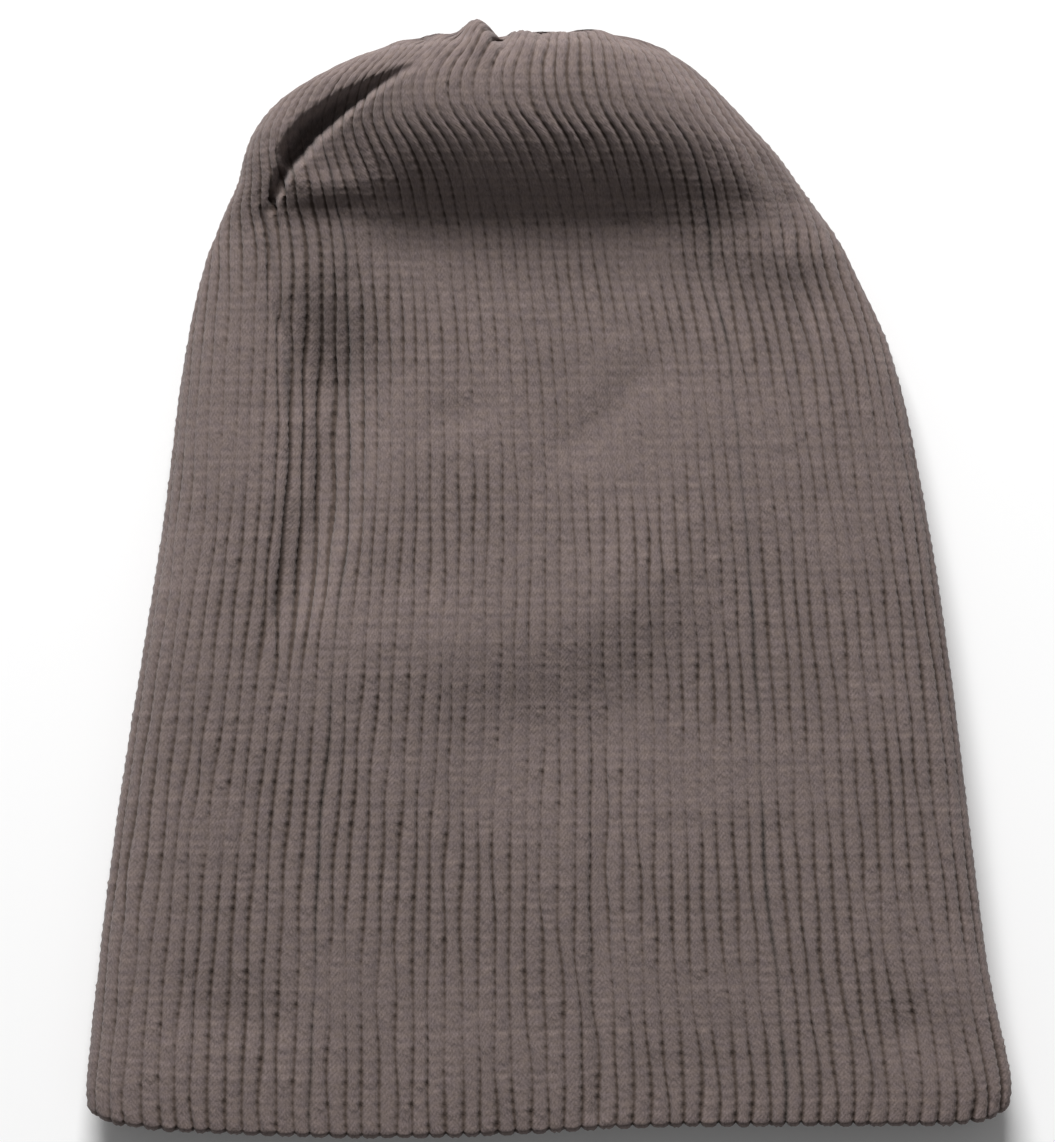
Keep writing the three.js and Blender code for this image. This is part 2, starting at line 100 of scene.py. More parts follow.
# Folds and dents in the front. Each runs along a path seen from above, with a height at each of its
# points, which is negative for a dent. left and right are its half widths on either side of the
# path, going up the cap. A fold with sunk_to is pressed down to those heights above the floor, and
# narrowed makes it narrower along its path. The more edge it has, the sharper its sides are.
FOLDS = [
    {
        "name": "crown_slit",
        "path": [[-63, 227], [-60.8, 231.4], [-56.6, 237], [-49.4, 242.6], [-41.4, 247.6], [-31, 253]],
        "sunk_to": [17, 15, 17, 22, 28, 31.2],
        "narrowed": [0.45, 0.95, 1, 0.85, 0.6, 0.35],
        "left": 2.8,
        "right": 2.4,
        "edge": 2.4,
    },
    {
        "name": "slit_tail",
        "path": [[-67, 213], [-65.2, 221], [-63, 227]],
        "sunk_to": [16.6, 15, 14.6],
        "narrowed": [0.4, 0.7, 1],
        "left": 1.3,
        "right": 1.5,
        "edge": 2.4,
    },
    {
        "name": "crease_line",
        "path": [
            [-67.6, 218], [-66.6, 211.6], [-64.5, 194.2], [-61.4, 184], [-60.5, 164], [-60.5, 146.8],
            [-64.5, 125.2], [-66.2, 112.1],
        ],
        "height": [-0.7, -0.9, -1.2, -1.2, -1, -0.9, -0.7, 0],
        "left": 1,
        "right": 1.6,
    },
    {
        "name": "side_crease",
        "path": [
            [-63, 222], [-59.5, 211.6], [-55, 199], [-52, 179], [-51.5, 168], [-53.5, 150],
            [-58, 132], [-63, 118],
        ],
        "height": [-0.6, -0.8, -1.2, -7.2, -7.2, -6.4, -4, -0.8],
        "narrowed": [0.5, 0.8, 1, 1, 0.92, 0.75, 0.55, 0.4],
        "left": 10,
        "right": 13,
    },
    {
        "name": "lobe_end",
        "path": [[-66, 234], [-56, 236], [-46, 236], [-32, 236]],
        "height": [-2, -4.6, -4.4, 0],
        "narrowed": [0.7, 0.9, 1, 1],
        "left": 20,
        "right": 15,
    },
    {
        "name": "lobe_end_brow",
        "path": [[-64, 221], [-59, 221.6], [-52, 222.4], [-44, 223], [-38, 223.4]],
        "height": [0, 0.8, 1.3, 0.5, 0],
        "left": 5,
        "right": 2.2,
        "edge": 3,
    },
    {
        "name": "left_shoulder",
        "path": [[-75, 210], [-66, 210.5], [-50, 211.5], [-40, 212]],
        "height": [0, 1.2, 1.5, 0],
        "left": 6.5,
        "right": 13,
    },
    {
        "name": "right_shoulder",
        "path": [[38, 215], [58, 210]],
        "height": [2.2, 3.2],
        "left": 11,
        "right": 11,
    },
    {
        "name": "right_crease",
        "path": [[24, 258.4], [36.4, 249.8], [45.8, 238], [57.4, 221], [61.4, 197], [62.8, 162]],
        "height": [-0.8, -1.3, -1.3, -1.3, -1.5, -0.4],
        "left": 3.4,
        "right": 3,
    },
    {
        "name": "diagonal_ridge",
        "path": [[-62, 109], [-23, 114], [5, 120], [28, 134], [46, 156]],
        "height": [0.4, 1.4, 2, 1.9, 0.6],
        "left": 16,
        "right": 15,
    },
    {
        "name": "hollow_below_it",
        "path": [[-30, 90], [6, 96], [44, 114]],
        "height": [0, -1.3, 0],
        "left": 14,
        "right": 16,
    },
    {
        "name": "upper_crease",
        "path": [[-1, 157], [15, 171], [29, 187]],
        "height": [-0.3, -0.9, -0.3],
        "left": 5,
        "right": 6,
    },
    {
        "name": "small_dent",
        "path": [[-24, 169], [-17, 171]],
        "height": [-0.8, -0.5],
        "left": 5.5,
        "right": 5.5,
    },
    {
        "name": "centre_crease",
        "path": [[13.5, 130], [12.6, 70], [11.6, 4]],
        "height": [0, -1.2, -1.1],
        "left": 3.2,
        "right": 3.2,
    },
    {
        "name": "right_hem_dent",
        "path": [[86, 24], [97, 22]],
        "height": [-1, -0.6],
        "left": 9,
        "right": 9,
    },
    {
        "name": "left_hem_dent",
        "path": [[-80, 28], [-68, 27]],
        "height": [-0.7, -0.7],
        "left": 9,
        "right": 9,
    },
    {
        "name": "pleat_groove_1",
        "path": [[-29.4, 260], [-28.2, 243]],
        "height": [-1.6, 0],
        "left": 2.2,
        "right": 2.2,
    },
    {
        "name": "pleat_groove_2",
        "path": [[-20.9, 263], [-20.5, 251]],
        "height": [-2, 0],
        "left": 2,
        "right": 2,
    },
    {
        "name": "pleat_groove_3",
        "path": [[-11.6, 263], [-8.8, 253]],
        "height": [-2.2, 0],
        "left": 2,
        "right": 2,
    },
    {
        "name": "pleat_groove_4",
        "path": [[-3.2, 263], [2, 249]],
        "height": [-1.8, 0],
        "left": 2,
        "right": 2,
    },
    {
        "name": "pleat_groove_5",
        "path": [[8, 263], [12, 252]],
        "height": [-1.2, 0],
        "left": 2.4,
        "right": 2.4,
    },
]

FOLD_FALL = 1.2  # how much a fold dies away by its half width

# Pleats that stand out past the crown's rim, each with its place across it
RIM_PLEATS = [
    {"x": -35, "out": 0.7, "half_width": 3.2},
    {"x": -25.6, "out": 1.2, "half_width": 3},
    {"x": -16.6, "out": 4.6, "half_width": 3.9},
    {"x": -11, "out": -1.4, "half_width": 1.8},
    {"x": -5.4, "out": 1.8, "half_width": 3.6},
    {"x": 9, "out": 1.8, "half_width": 8},
]
RIM_PLEATS_FROM = 13  # the section where they start
RIM_SECTION = 15.8  # the section that makes the crown's rim
RIM_TURN = 1.4  # how many sections beyond it the front's folds die away in
FRONT_EDGE = 0.05  # how far up a section the front starts, where 1 is its middle
FRONT_WHOLE = 0.6  # how far up it is front and nothing else

# The pleats round the end, which run in to the gather
END_PLEATS = 20
END_PLEAT_HEIGHT = 0.7
# The sections where they start, stand up whole, begin to fade and stop
END_PLEATS_START = 15
END_PLEATS_FULL = 16.5
END_PLEATS_FADE = 17
END_PLEATS_STOP = 18

# The ring of yarn that closes the gather
YARN_RING_RADIUS = 1.7
PLY_RADIUS = 0.3
YARN_OUT = 5.6  # how far outside the bottom of the gather it sits

# Where the ribs lie
RIB_EASE = 1.3  # how many sections ahead and behind even out the ribs' places
WIDE_FALL = 6  # how close to the side folds the wide ribs of the middle reach
SLIT_TUCK = 0.55  # how much narrower the ribs are that are tucked away in the crown's slit
SLIT_REACH = 4  # how far from the slit's line that is felt
SLIT_FULL = 1.3  # how soon along the slit all of it is felt, 1 being at its end
RIB_SWAY = 0.07  # how far the ribs wander to the side, in ribs
SWAY_SWELLS = (1.6, 9, 4)  # how many ribs and courses across the swells of that are, and a seed
WANDER_WAVES = 24  # how many waves make up a wandering value

# How deep the grooves between the ribs are, as a share of RIB_DEPTH
OPEN_KNIT = 0.85
OPEN_RANGE = 0.22  # how much it varies from one part of the cap to another
OPEN_SWELLS = (7, 12, 7)  # how many ribs and courses across these parts are, and a seed
OPEN_LIMITS = (0.5, 1.3)
RIGHT_OPEN = 0.2  # how much deeper they are on the body's right, which is pulled open
RIGHT_WHOLE = 70  # how far to the right of the middle all of that is felt
CROWN_CLOSES = (185, 225)  # how far up the cap that starts to die away, and is gone
SIDE_CREASE = next(fold for fold in FOLDS if fold["name"] == "side_crease")
BUNCHED_REACH = 9  # how far from the side crease the ribs lie bunched together
BUNCHED_DEPTH = 1.7  # how deep their grooves are there
WHOLE_RIB = 3.4  # how wide a rib has to be to stand up whole, where a narrower one is flatter
SLIT_FLATTEN = 0.7  # how much flatter the ribs are in the crown's slit
SLIT_FLAT_REACH = 3.6  # how far from the slit's line that is felt

# The stitches of a rib. A width is a share of the rib's own.
GROOVE_SHARE = 0.93  # how much of its depth the groove has beside a stitch, on average
GROOVE_WAVE = 0.11  # how much less it has beside a stitch's middle, and more beside its ends
GROOVE_WIDTH = 0.155
NOTCH_DEPTH = 0.14  # the notch down the rib's middle, between the two legs of each stitch
NOTCH_WIDTH = 0.09
LEG_STAND = 0.1  # how far the legs stand out at the stitch's middle
LEG_RISE = 1.15  # how many courses a stitch's leg climbs from the rib's middle to its edge, times two
STITCH_UNEVENNESS = 0.05  # how far some stitches stand out more than others
GROOVE_UNEVENNESS = 0.09  # and how much deeper the groove is beside some of them
LEG_UNEVENNESS = 0.35  # and how much more their legs stand out
UNEVEN_SEED = 9

# How finely the knitting is meshed
COLUMNS_PER_RIB = 6
ROWS_PER_COURSE = 4
INSIDE_COLUMN_STEP = 2  # the inside takes one column in two
TABLE_STEPS = 240  # cross sections in the table of angles
ANGLE_STEPS = 720  # steps that a section's way round is measured in
LENGTH_STEPS = 2000  # places where the front's length is measured
NORMAL_STEP = 0.02  # how far to each side the surface's direction is measured
UV_MARGIN = 0.005  # how much room is left round a sheet that is laid out flat

# Where the sheets of the knitting end
GATHER_GAP = 0.6  # how far short of the gather the last row of stitches ends
TIP_RELIEF = 0.5  # how far out of its groove the point counts that closes a sheet
HEM_TURN = 8  # how far round the hem and up the inside the outside's panels run
INSIDE_END = 17  # the section where the inside ends in the crown
INSIDE_STEP = 0.3  # how far the inside sheet lies under the panels' ends
INSIDE_OVERLAP = 2  # how many courses of it lie there

# The outside's four panels, and the part of the way round that each takes. It is measured from the
# middle of the back, over the right side fold.
PANELS = [
    {"name": "knit_front", "from": 0.375, "to": 0.625},
    {"name": "knit_left", "from": 0.625, "to": 0.875},
    {"name": "knit_back", "from": 0.875, "to": 1.125},
    {"name": "knit_right", "from": 0.125, "to": 0.375},
]

# The yarn: fibres dyed two shades of grey-brown, with a browner one that shows here and there
HEATHER_DARK = "#443a38"
HEATHER_LIGHT = "#867879"
HEATHER_WARM = "#6f6155"
PAINTED_GROOVE_SHADE = "#4c403a"  # painted shade: the same yarn as it looks in the shade between two ribs
GROOVE_SHADE_TO = 0.8  # how far out of its groove a rib still gets the painted shade, 1 being its top
WARM_SHARE = 0.55  # how much of the browner fibre there is where it shows most
YARN_SHADE = 0.3  # how much lighter or darker one length of yarn is than another
STITCH_SHADE = 0.26  # and one stitch than the next
PATCH_SHADE = 0.24  # and one part of the cap than another, from handling and washing
PLIES_PER_LEG = 2
PLY_SLANT = 2.2  # how many courses a ply climbs from the rib's middle to its edge, times two
# Patches of each tone: how many ribs wide, how many courses tall, how ragged, and a seed. Real
# fibres are finer, 0.02 mm, which no picture of the whole cap shows, so they are drawn coarser.
YARN_TONES = {
    "fibre": (0.11, 0.5, 3, 11.3),
    "stitch": (0.9, 0.8, 1.5, 3.7),
    "yarn": (30, 0.9, 2, 5.1),
    "patch": (8, 12, 2, 23.9),
}
# How high the yarn's own relief stands, in mm: its hairs, its plies and the stitches' legs
FIBRE_HEIGHT = 0.175
PLY_HEIGHT = 0.015
LEG_HEIGHT = 0.063
BUMP_STRENGTH = 0.9

# The numbers of a colour mix's inputs and of its result
MIX_FACTOR = 0
MIX_FIRST = 6
MIX_SECOND = 7
MIX_RESULT = 2


def smooth_through(values, t):
    """Values of a smooth curve through evenly spaced values, at places t."""
    last = len(values) - 1
    i = np.clip(np.floor(t).astype(int), 0, last - 1)
    u = t - i
    k = np.arange(last + 1)
    slopes = (values[np.minimum(k + 1, last)] - values[np.maximum(k - 1, 0)]) / 2
    rise = values[i + 1] - values[i]
    a = slopes[i]
    b = slopes[i + 1]
    return values[i] + u * (a + u * (3 * rise - 2 * a - b + u * (a + b - 2 * rise)))


def smooth_step(start, end, value):
    """Rises smoothly from 0 to 1 as the value goes from start to end."""
    u = np.clip((value - start) / (end - start), 0, 1)
    return u * u * (3 - 2 * u)


def sections_at(t):
    """The cross sections at places t along the table, one array for each of its columns."""
    return {name: smooth_through(SECTIONS[:, c], t) for c, name in enumerate(SECTION_COLUMNS)}


def up_at(section, angle):
    """How far up a cross section is at an angle, from -1 under the back to 1 over the front."""
    return np.sign(np.sin(angle)) * np.sqrt(1 - np.abs(np.cos(angle)) ** section["square"])


def body_points(section, angle):
    """Points of the cross sections, before folds and ribs. Angle 0 is the right side fold."""
    up = up_at(section, angle)
    half = (section["right_x"] - section["left_x"]) / 2
    middle = (section["right_x"] + section["left_x"]) / 2
    x = middle + half * np.cos(angle)
    pressed = np.where(section["back_z"] < 1, FLATTEN * (1 - section["back_z"]), 0)
    front = up >= 0
    far_y = np.where(front, section["front_y"], section["back_y"])
    far_z = np.where(front, section["front_z"], section["back_z"] - pressed)
    y = section["side_y"] + (far_y - section["side_y"]) * np.abs(up)
    z = section["side_z"] + (far_z - section["side_z"]) * np.abs(up)
    return np.stack([x, y, np.maximum(z, 0)], axis=-1)


def body_normals(t, angle):
    """Outward directions of the cross sections' surface, before folds and ribs."""
    last = len(SECTIONS) - 1
    before = body_points(sections_at(np.maximum(t - NORMAL_STEP, 0)), angle)
    after = body_points(sections_at(np.minimum(t + NORMAL_STEP, last)), angle)
    here = sections_at(t)
    around = body_points(here, angle + NORMAL_STEP) - body_points(here, angle - NORMAL_STEP)
    normals = np.cross(after - before, around)
    return normals / np.linalg.norm(normals, axis=-1, keepdims=True)


def nearest_on_path(path, x, y):
    """Nearest place on a path seen from above: distance, how far along it, and which side of it."""
    best = np.full(x.shape, np.inf)
    along = np.zeros(x.shape)
    left = np.zeros(x.shape)
    for i in range(1, len(path)):
        (x0, y0), (x1, y1) = path[i - 1], path[i]
        dx = x1 - x0
        dy = y1 - y0
        part = np.clip(((x - x0) * dx + (y - y0) * dy) / (dx * dx + dy * dy), 0, 1)
        distance = np.hypot(x - x0 - part * dx, y - y0 - part * dy)
        nearer = distance < best
        best = np.where(nearer, distance, best)
        along = np.where(nearer, i - 1 + part, along)
        left = np.where(nearer, np.sign(dx * (y - y0) - dy * (x - x0)), left)
    return best, along, left


def folded(points, front, wider, lower):
    """Pushes points of the front up or down by the folds, and gives their new heights."""
    x = points[..., 0]
    y = points[..., 1]
    z = points[..., 2].copy()
    for fold in FOLDS:
        distance, along, left = nearest_on_path(fold["path"], x, y)
        goes_up = fold["path"][-1][1] >= fold["path"][0][1]
        on_left = (left > 0) == goes_up
        half = np.where(on_left, fold["left"], fold["right"])
        if "narrowed" in fold:
            half = half * smooth_through(np.array(fold["narrowed"]), along)
        share = front * np.exp(-FOLD_FALL * (distance / (half + wider)) ** fold.get("edge", 2))
        if "sunk_to" in fold:
            bottom = smooth_through(np.array(fold["sunk_to"]), along) - lower
            z += np.minimum(bottom - z, 0) * share
        else:
            z += smooth_through(np.array(fold["height"]), along) * share
    return z


def front_share(section, t, angle):
    """How far a place belongs to the front, which the folds and the rim's pleats shape."""
    turned = smooth_step(RIM_SECTION, RIM_SECTION + RIM_TURN, t)
    return smooth_step(FRONT_EDGE, FRONT_WHOLE, up_at(section, angle)) * (1 - turned)


def rib_widths(section, points, angle):
    """How wide the ribs are at each place of the sections, against each other."""
    cosine = np.cos(angle)
    front = np.sin(angle) > 0
    wide = 1 + np.where(front, (section["middle"] - 1) * (1 - cosine ** WIDE_FALL), 0)
    slit = FOLDS[0]["path"]
    distance, along, _ = nearest_on_path(slit, points[..., 0], points[..., 1])
    tucked = SLIT_TUCK * np.clip(along / (len(slit) - 1) * SLIT_FULL, 0, 1)
    return wide * (1 - np.where(front, tucked * np.exp(-((distance / SLIT_REACH) ** 2)), 0))


def angle_lookup():
    """A table of the angle for each place round the tube, for sections all along it."""
    sections = np.linspace(0, len(SECTIONS) - 1, TABLE_STEPS + 1)
    angles = -math.pi / 2 + np.linspace(0, 2 * math.pi, ANGLE_STEPS + 1)
    t, angle = np.meshgrid(sections, angles, indexing="ij")
    section = sections_at(t)
    points = body_points(section, angle)
    steps = np.linalg.norm(np.diff(points, axis=1), axis=-1)
    lengths = np.cumsum(steps / rib_widths(section, points, angle)[:, 1:], axis=1)
    lengths = np.concatenate([np.zeros((len(sections), 1)), lengths], axis=1)
    places = np.linspace(0, 1, RIBS * COLUMNS_PER_RIB + 1)
    right_fold = ANGLE_STEPS // 4
    left_fold = ANGLE_STEPS - right_fold
    rows = []
    for i, row in enumerate(lengths):
        behind = (1 - section["front_ribs"][i, 0] / RIBS) / 2
        known = [row[0], row[right_fold], row[left_fold], row[-1]]
        rows.append(np.interp(places, np.interp(row, known, [0, behind, 1 - behind, 1]), angles))
    table = np.array(rows)
    near = np.arange(TABLE_STEPS + 1)
    reach = round(RIB_EASE / sections[1])
    smoothed = [table[np.clip(near + shift, 0, TABLE_STEPS)] for shift in range(-reach, reach + 1)]
    return sections, np.mean(smoothed, axis=0)


def place_angles(lookup, t, columns):
    """Angles at sections t for columns of the knitting, after its twist."""
    sections, table = lookup
    where = t / sections[-1] * TABLE_STEPS
    i = np.clip(where.astype(int), 0, TABLE_STEPS - 1)
    u = where - i
    turned = columns + sections_at(t)["twist"] * COLUMNS_PER_RIB
    whole = np.floor(turned).astype(int)
    v = turned - whole
    turns, column = np.divmod(whole, RIBS * COLUMNS_PER_RIB)
    near = table[i, column] * (1 - v) + table[i, column + 1] * v
    far = table[i + 1, column] * (1 - v) + table[i + 1, column + 1] * v
    return near * (1 - u) + far * u + 2 * math.pi * turns


def front_lengths():
    """Distance along the middle of the front from the hem, for places along the table."""
    t = np.linspace(0, len(SECTIONS) - 1, LENGTH_STEPS)
    section = sections_at(t)
    steps = np.hypot(np.diff(section["front_y"]), np.diff(section["front_z"]))
    return t, np.concatenate([[0], np.cumsum(steps)])


def hem_shift(x, y):
    """How far up the cap the hem's uneven line moves a place of the knitting."""
    return np.interp(x, HEM_LINE[:, 0], HEM_LINE[:, 1]) * (1 - smooth_step(0, HEM_REACH, y))


def tube_surface(lookup, lengths, along, columns):
    """Points of the knitting's surface without its ribs. along is the distance up the front from
    where the hem starts to turn in. Below 0 it runs round the hem and then up the inside."""
    hem_radius = WALL / 2
    turn = math.pi * hem_radius
    table_t, table_length = lengths
    up_inside = -along - turn
    height = np.where(along >= 0, along, np.maximum(up_inside, 0)) + hem_radius
    t = np.interp(height, table_length, table_t)
    angle = place_angles(lookup, t, columns)
    roll = np.clip(-along / hem_radius, 0, math.pi)
    inset = hem_radius * (1 - np.cos(roll))
    section = sections_at(t)
    points = body_points(section, angle)
    front = front_share(section, t, angle)
    out = np.zeros(t.shape)
    rim = smooth_step(RIM_PLEATS_FROM, RIM_SECTION, t)
    for pleat in RIM_PLEATS:
        off = (points[..., 0] - pleat["x"]) / pleat["half_width"]
        out += rim * front * pleat["out"] * np.exp(-off * off)
    place = columns / (RIBS * COLUMNS_PER_RIB)
    in_end = smooth_step(END_PLEATS_START, END_PLEATS_FULL, t)
    in_end *= 1 - smooth_step(END_PLEATS_FADE, END_PLEATS_STOP, t)
    out += in_end * END_PLEAT_HEIGHT * np.cos(2 * math.pi * END_PLEATS * place)
    out = np.where(inset > 0, 0, out) - inset
    points[..., 2] = folded(points, front, inset / 2, inset)
    points += body_normals(t, angle) * out[..., None]
    points[..., 1] += hem_shift(points[..., 0], points[..., 1]) - hem_radius * np.sin(roll)
    points[..., 2] = np.maximum(points[..., 2], 0)
    return points


def grid_normals(points):
    """Outward directions of a closed tube of points, rows going up and columns going round."""
    around = np.roll(points, -1, axis=1) - np.roll(points, 1, axis=1)
    up = np.gradient(points, axis=0)
    normals = np.cross(up, around)
    return normals / np.maximum(np.linalg.norm(normals, axis=-1, keepdims=True), 1e-9)


def wander(wale, course, ribs, courses, seed):
    """A smooth random value about 0, whose swells are about so many ribs and courses across."""
    random = np.random.default_rng(seed)
    value = np.zeros(np.broadcast(wale, course).shape)
    for _ in range(WANDER_WAVES):
        turns = round(random.normal() * RIBS / (2 * ribs))
        rate = random.normal() / (2 * courses)
        phase = random.uniform(0, 1)
        value += np.cos(2 * math.pi * (turns * wale / RIBS + rate * course + phase))
    return value * math.sqrt(2 / WANDER_WAVES)


def stitch_relief(across, course, depth, legs):
    """Height of the knitting over its groove. across is 0 to 1 over a rib, course counts stitches.
    depth is how deep the groove is here, and legs how far the stitches' legs stand out."""
    from_groove = np.minimum(across, 1 - across)
    from_middle = across - 0.5
    wave = np.cos(2 * math.pi * course)
    share = GROOVE_SHARE - GROOVE_WAVE * wave
    groove = depth * share * np.exp(-((from_groove / GROOVE_WIDTH) ** 2))
    notch = NOTCH_DEPTH * np.exp(-((from_middle / NOTCH_WIDTH) ** 2))
    return RIB_DEPTH - groove - notch + LEG_STAND * legs * wave


def knit_layer():
    """The whole surface of the knitting: a grid of points with each one's place in it. Rows run from
    deep inside the crown down to the hem, round it, and up the outside to the gather."""
    lookup = angle_lookup()
    lengths = front_lengths()
    columns = np.arange(RIBS * COLUMNS_PER_RIB)
    wale = columns[None, :] / COLUMNS_PER_RIB
    across = wale % 1
    climb = LEG_RISE * np.abs(across - 0.5)
    whole = lengths[1][-1] - WALL / 2
    turn = math.pi * WALL / 2
    end_inside = np.interp(INSIDE_END, lengths[0], lengths[1]) - WALL / 2
    first = -math.ceil((turn + end_inside) / COURSE) * ROWS_PER_COURSE
    last = int((whole - GATHER_GAP) / COURSE * ROWS_PER_COURSE)
    course = np.arange(first, last)[:, None] / ROWS_PER_COURSE + climb
    along = np.clip(course * COURSE, -turn - end_inside, whole)
    sway = RIB_SWAY * wander(wale, course, *SWAY_SWELLS)
    base = tube_surface(lookup, lengths, along, columns[None, :] + sway * COLUMNS_PER_RIB)
    normals = grid_normals(base)
    pitch = np.linalg.norm(np.roll(base, -COLUMNS_PER_RIB, axis=1) - base, axis=-1)
    slit_distance = nearest_on_path(FOLDS[0]["path"], base[..., 0], base[..., 1])[0]
    in_slit = np.exp(-((slit_distance / SLIT_FLAT_REACH) ** 2))
    fullness = np.clip(pitch / WHOLE_RIB, 0, 1) * (1 - SLIT_FLATTEN * in_slit)
    valley_distance = nearest_on_path(SIDE_CREASE["path"], base[..., 0], base[..., 1])[0]
    bunched = np.exp(-((valley_distance / BUNCHED_REACH) ** 2)) * (normals[..., 2] > 0)
    pulled_open = RIGHT_OPEN * smooth_step(0, RIGHT_WHOLE, base[..., 0])
    pulled_open *= 1 - smooth_step(*CROWN_CLOSES, base[..., 1])
    open_knit = OPEN_KNIT + pulled_open + OPEN_RANGE * wander(wale, course, *OPEN_SWELLS)
    open_knit = np.clip(open_knit, *OPEN_LIMITS)
    depth = RIB_DEPTH * (open_knit * (1 - bunched) + BUNCHED_DEPTH * bunched)
    spare = 3  # courses past the last row, which its stitches' legs climb into
    stitches = (RIBS, math.ceil((last - first) / ROWS_PER_COURSE) + spare)
    rib = np.broadcast_to(np.floor(wale).astype(int), course.shape)
    stitch = np.floor(course - first / ROWS_PER_COURSE).astype(int)
    uneven = np.random.default_rng(UNEVEN_SEED).normal(size=stitches)[rib, stitch]
    depth = depth * (1 + GROOVE_UNEVENNESS * uneven)
    relief = stitch_relief(across, course, depth, 1 + LEG_UNEVENNESS * uneven)
    lift = (relief - RIB_DEPTH + STITCH_UNEVENNESS * uneven) * fullness
    points = base + normals * lift[..., None]
    points[..., 2] = np.maximum(points[..., 2], 0)
    return {
        "points": points,
        "normals": normals,
        "course": course,
        "relief": relief / RIB_DEPTH,
        "hem_row": -first,
    }


def mesh_from_grid(name, points, wale, course, relief, tip, tip_row=-1):
    """One sheet of quads from a grid of points, closed by a fan from its tip_row to the tip."""
    rows, columns = points.shape[:2]
    index = np.arange(rows * columns).reshape(rows, columns)
    quads = np.stack([index[:-1, :-1], index[:-1, 1:], index[1:, 1:], index[1:, :-1]], axis=-1)
    faces = quads.reshape(-1, 4).tolist()
    centred = points.reshape(-1, 3) - np.array([MIDDLE[0], MIDDLE[1], 0])
    vertices = centred.tolist()
    vertices.append([tip[0] - MIDDLE[0], tip[1] - MIDDLE[1], tip[2]])
    end = index[tip_row] if tip_row < 0 else index[tip_row][::-1]
    faces += [[int(a), int(b), rows * columns] for a, b in zip(end[:-1], end[1:])]
    mesh = bpy.data.meshes.new(name)
    mesh.from_pydata([[c * MM for c in v] for v in vertices], [], faces)
    mesh.update()
    wales = np.append(np.broadcast_to(wale, (rows, columns)).ravel(), wale.mean())
    courses = np.append(course.ravel(), course[tip_row].mean())
    reliefs = np.append(relief.ravel(), TIP_RELIEF)
    attribute = mesh.attributes.new("relief", "FLOAT", "POINT")
    attribute.data.foreach_set("value", reliefs.astype(np.float32))
    loops = np.empty(len(mesh.loops), np.int32)
    mesh.loops.foreach_get("vertex_index", loops)
    flat = np.stack([wales, courses], axis=-1)
    low = flat.min(axis=0)
    span = flat.max(axis=0) - low
    laid_out = UV_MARGIN + (1 - 2 * UV_MARGIN) * (flat - low) / span
    bake = mesh.uv_layers.new(name="OFBake")
    bake.data.foreach_set("uv", laid_out[loops].astype(np.float32).ravel())
    knit = mesh.uv_layers.new(name="knit")
    knit.data.foreach_set("uv", flat[loops].astype(np.float32).ravel())
    mesh.polygons.foreach_set("use_smooth", np.ones(len(mesh.polygons), bool))
    piece = bpy.data.objects.new(name, mesh)
    bpy.context.scene.collection.objects.link(piece)
    return piece


def outer_panels(layer):
    """The outside of the cap, in four panels that meet in the grooves between ribs. Each turns round
    the hem and ends a little way up the inside."""
    count = RIBS * COLUMNS_PER_RIB
    start = layer["hem_row"] - round(HEM_TURN / COURSE * ROWS_PER_COURSE)
    pieces = []
    for panel in PANELS:
        columns = np.arange(round(panel["from"] * count), round(panel["to"] * count) + 1)
        picked = columns % count
        pieces.append(mesh_from_grid(
            panel["name"], layer["points"][start:, picked], columns / COLUMNS_PER_RIB,
            layer["course"][start:, picked], layer["relief"][start:, picked], GATHER,
        ))
    return pieces


def inside_sheet(layer):
    """The inside of the cap from the hem's turn to the crown, one row for each course."""
    count = RIBS * COLUMNS_PER_RIB
    seen = HEM_TURN - INSIDE_OVERLAP * COURSE
    end = layer["hem_row"] - round(seen / COURSE * ROWS_PER_COURSE)
    rows = np.arange(0, end, ROWS_PER_COURSE)[:, None]
    columns = np.arange(0, count + 1, INSIDE_COLUMN_STEP)
    picked = columns % count
    under = layer["points"][rows, picked] - INSIDE_STEP * layer["normals"][rows, picked]
    tip = (GATHER[0], GATHER[1] - WALL, GATHER[2])
    return mesh_from_grid(
        "knit_inside", under, columns / COLUMNS_PER_RIB, layer["course"][rows, picked],
        layer["relief"][rows, picked], tip, 0,
    )


def closing_yarn():
    """The ring of yarn that draws the crown together: two plies twisted round each other."""
    turns = 4  # of the plies round each other, whole ones, so that each ply meets its own start
    steps = 240
    sides = 10
    around = np.linspace(0, 2 * math.pi, steps, endpoint=False)
    side = np.linspace(0, 2 * math.pi, sides, endpoint=False)
    vertices = []
    faces = []
    for ply in range(2):
        twist = turns * around + math.pi * ply
        radius = YARN_RING_RADIUS + PLY_RADIUS * np.cos(twist)
        across = PLY_RADIUS * np.sin(twist)
        centre = np.stack([radius * np.cos(around), across, radius * np.sin(around)], axis=-1)
        out = np.stack([np.cos(around), np.zeros(steps), np.sin(around)], axis=-1)
        ring = centre[:, None] + PLY_RADIUS * (
            np.cos(side)[None, :, None] * out[:, None] + np.sin(side)[None, :, None] * np.array([0, 1, 0])
        )
        start = len(vertices)
        vertices += ring.reshape(-1, 3).tolist()
        index = start + np.arange(steps * sides).reshape(steps, sides)
        ahead = np.roll(index, -1, axis=0)
        faces += np.stack([
            index, np.roll(index, -1, axis=1), np.roll(ahead, -1, axis=1), ahead,
        ], axis=-1).reshape(-1, 4).tolist()
    mesh = bpy.data.meshes.new("closing_yarn_plied")
    mesh.from_pydata([[c * MM for c in v] for v in vertices], [], faces)
    mesh.polygons.foreach_set("use_smooth", np.ones(len(mesh.polygons), bool))
    piece = bpy.data.objects.new("closing_yarn_plied", mesh)
    piece.location = (
        (GATHER[0] - MIDDLE[0]) * MM, (GATHER[1] + YARN_OUT - MIDDLE[1]) * MM, GATHER[2] * MM,
    )
    bpy.context.scene.collection.objects.link(piece)
    return piece


